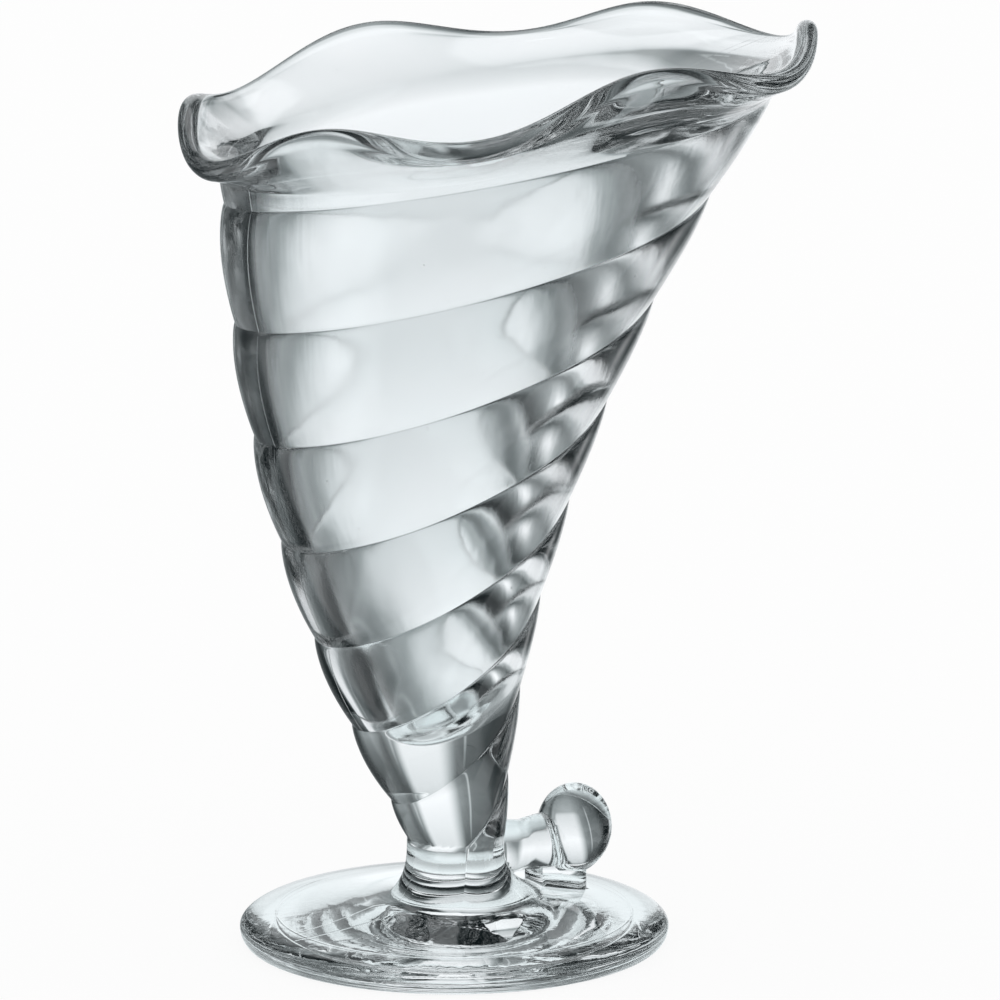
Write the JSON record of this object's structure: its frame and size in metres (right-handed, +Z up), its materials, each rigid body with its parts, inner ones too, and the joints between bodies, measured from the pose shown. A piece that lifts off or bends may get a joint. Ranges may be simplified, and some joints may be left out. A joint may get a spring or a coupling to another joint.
{
  "type": "parfait glass",
  "caption": "Clear pressed-glass parfait glass shaped as a spiral horn, with a wavy flared lip, a round domed foot and a curled tail that ends in a ball; holds ice cream and desserts.",
  "frame": {"origin": "middle of the foot's underside, where the glass stands on the table", "axes": "+Z up, +X from the foot's middle towards the ball at the end of the tail"},
  "size_m": [0.1218, 0.1198, 0.1746],
  "materials": {
    "clear_glass": "clear fire-polished pressed glass"
  },
  "bodies": {
    "root": {"foot": "clear_glass", "stem_collar": "clear_glass", "stem": "clear_glass", "bowl": "clear_glass", "lip": "clear_glass", "tail_neck": "clear_glass", "tail_ball": "clear_glass", "tail_pad": "clear_glass"}
  },
  "joints": []
}
